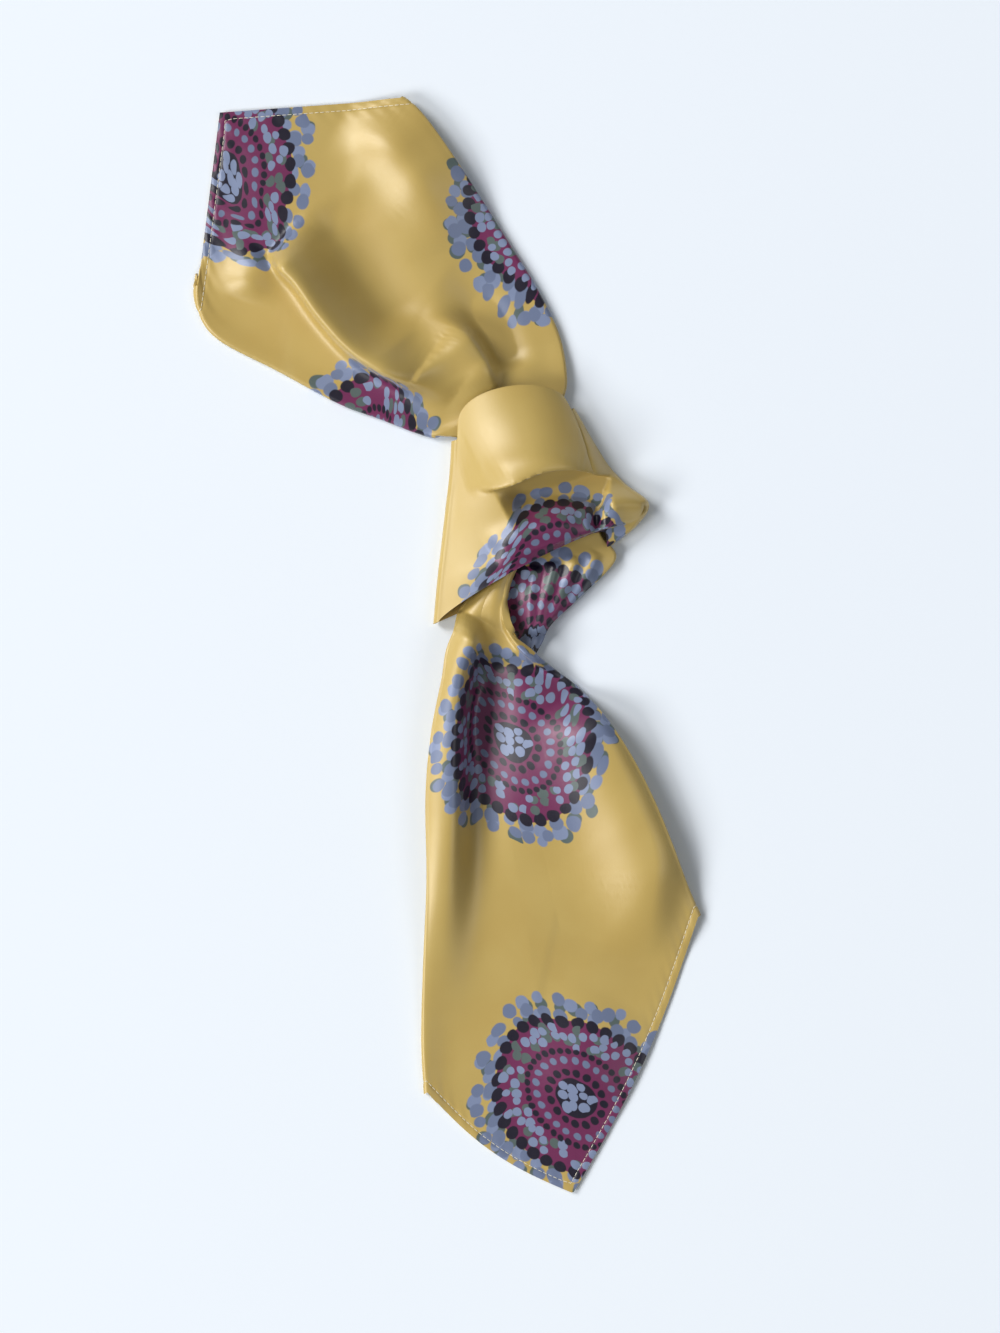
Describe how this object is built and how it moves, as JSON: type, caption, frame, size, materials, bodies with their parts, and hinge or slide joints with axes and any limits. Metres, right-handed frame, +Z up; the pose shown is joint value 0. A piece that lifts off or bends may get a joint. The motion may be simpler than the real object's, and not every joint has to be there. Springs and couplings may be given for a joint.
{
  "type": "neckerchief",
  "caption": "Silk neckerchief folded into a band with pointed ends, tied once in its middle and lying flat.",
  "frame": {"origin": "on the surface it lies on, under the middle of its outline", "axes": "+Y towards the upper tail, +Z up, +X to the right seen from above"},
  "size_m": [0.2626, 0.5642, 0.0321],
  "materials": {
    "silk": "satin silk, gold with a lilac and plum print",
    "hem": "turned and topstitched satin silk",
    "thread": "pale sewing thread"
  },
  "bodies": {
    "root": {"upper_tail": "silk", "lower_tail": "silk", "knot_wrap": "silk", "knot_gather": "silk", "upper_hem_left": "hem", "upper_hem_right": "hem", "lower_hem_left": "hem", "lower_hem_right": "hem"}
  },
  "joints": []
}
